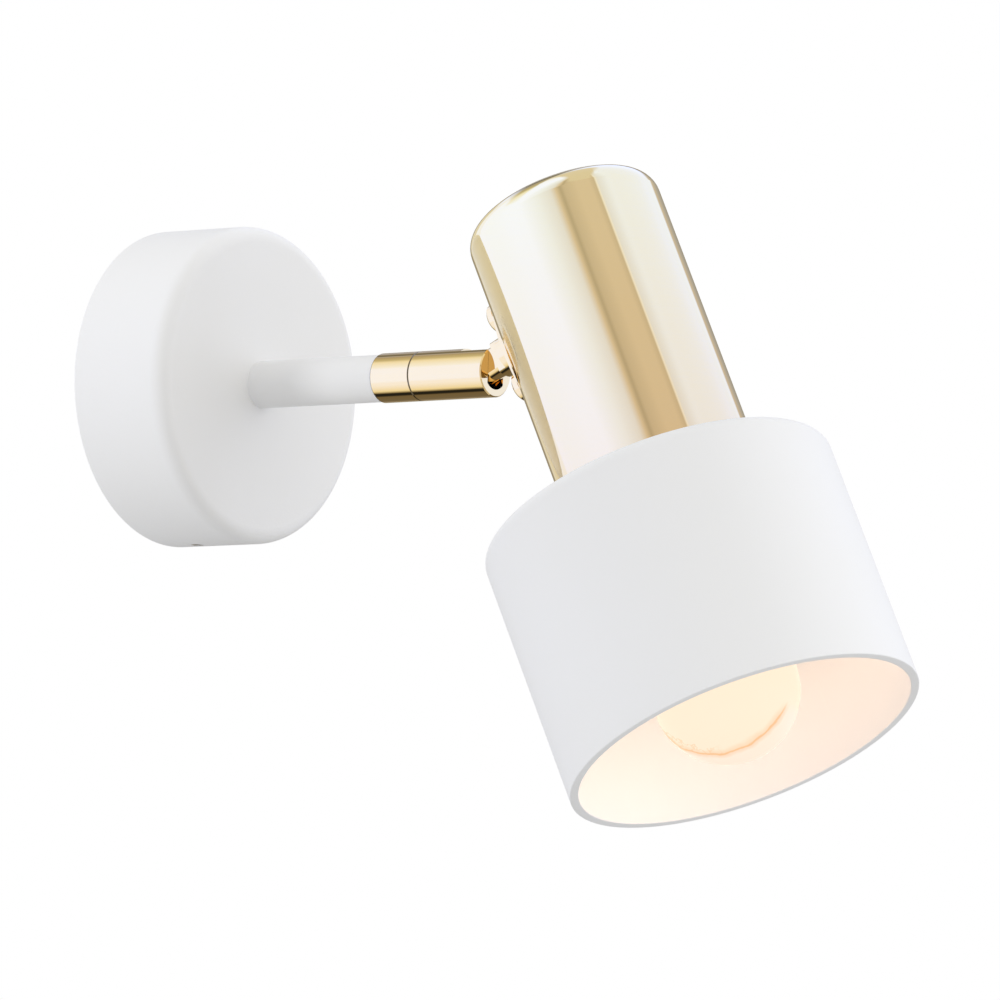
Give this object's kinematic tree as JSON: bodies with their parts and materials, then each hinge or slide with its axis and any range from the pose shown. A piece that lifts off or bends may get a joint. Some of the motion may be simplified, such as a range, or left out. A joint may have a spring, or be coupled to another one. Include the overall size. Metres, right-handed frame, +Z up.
{
  "type": "wall lamp",
  "caption": "Spotlight wall lamp: round canopy, short arm, swivelling and tilting brass joint, closed brass barrel and a cylindrical shade open at the mouth over a round bulb.",
  "frame": {"origin": "centre of the canopy's back, on the wall", "axes": "+Y into the wall, so the arm stands out along -Y; +Z up; +X to the right of a viewer who faces the wall"},
  "size_m": [0.1114, 0.2781, 0.203],
  "materials": {
    "white_paint": "matt powder coat on steel",
    "shade_white": "matt white powder coat outside and inside",
    "polished_brass": "polished and lacquered",
    "plain_brass": "plain turned brass",
    "zinc_steel": "bright zinc plated",
    "terminal_plastic": "natural moulded plastic",
    "holder_plastic": "moulded plastic",
    "opal_glass": "opal, lit",
    "clear_glass": "clear",
    "black_glass": "black insulating glass"
  },
  "bodies": {
    "wall_base": {"wall_bracket": "zinc_steel", "earth_screw": "plain_brass", "earth_washer": "zinc_steel", "terminal_block": "terminal_plastic", "terminal_sleeves": "plain_brass", "terminal_screws": "zinc_steel", "terminal_fixing_screw": "zinc_steel", "canopy": "white_paint", "canopy_screws": "zinc_steel", "arm_nipple": "zinc_steel", "arm_washer": "zinc_steel", "arm_nut": "zinc_steel", "arm_root_bush": "plain_brass", "arm_tube": "white_paint", "arm_collar": "polished_brass", "stop_pin": "zinc_steel"},
    "swivel": {"knuckle": "polished_brass", "swivel_washer": "plain_brass", "swivel_nut": "plain_brass", "pivot_pins": "polished_brass"},
    "head": {"tongue": "polished_brass", "flange_screws": "polished_brass", "flange_nuts": "zinc_steel", "barrel": "polished_brass", "holder_bracket": "zinc_steel", "holder_nipple": "zinc_steel", "holder_nut": "zinc_steel", "lampholder_cap": "holder_plastic", "lampholder_core": "holder_plastic", "lampholder_body": "holder_plastic", "screw_shell": "plain_brass", "centre_contact": "plain_brass", "shade_ring": "holder_plastic", "shade": "shade_white", "bulb_globe": "opal_glass", "bulb_cap": "plain_brass", "bulb_insulator": "black_glass", "bulb_tip": "zinc_steel", "bulb_stem": "clear_glass", "bulb_leads": "zinc_steel", "bulb_filament": "zinc_steel"}
  },
  "joints": [
    {"name": "arm_swivel", "type": "hinge", "parent": "wall_base", "child": "swivel", "pos_m": [0, -0.1, 0], "axis": [0, -1, 0], "range_deg": [-165, 165]},
    {"name": "head_tilt", "type": "hinge", "parent": "swivel", "child": "head", "pos_m": [0, -0.1225, 0], "axis": [-1, 0, 0], "range_deg": [-26.6, 63.4]}
  ]
}
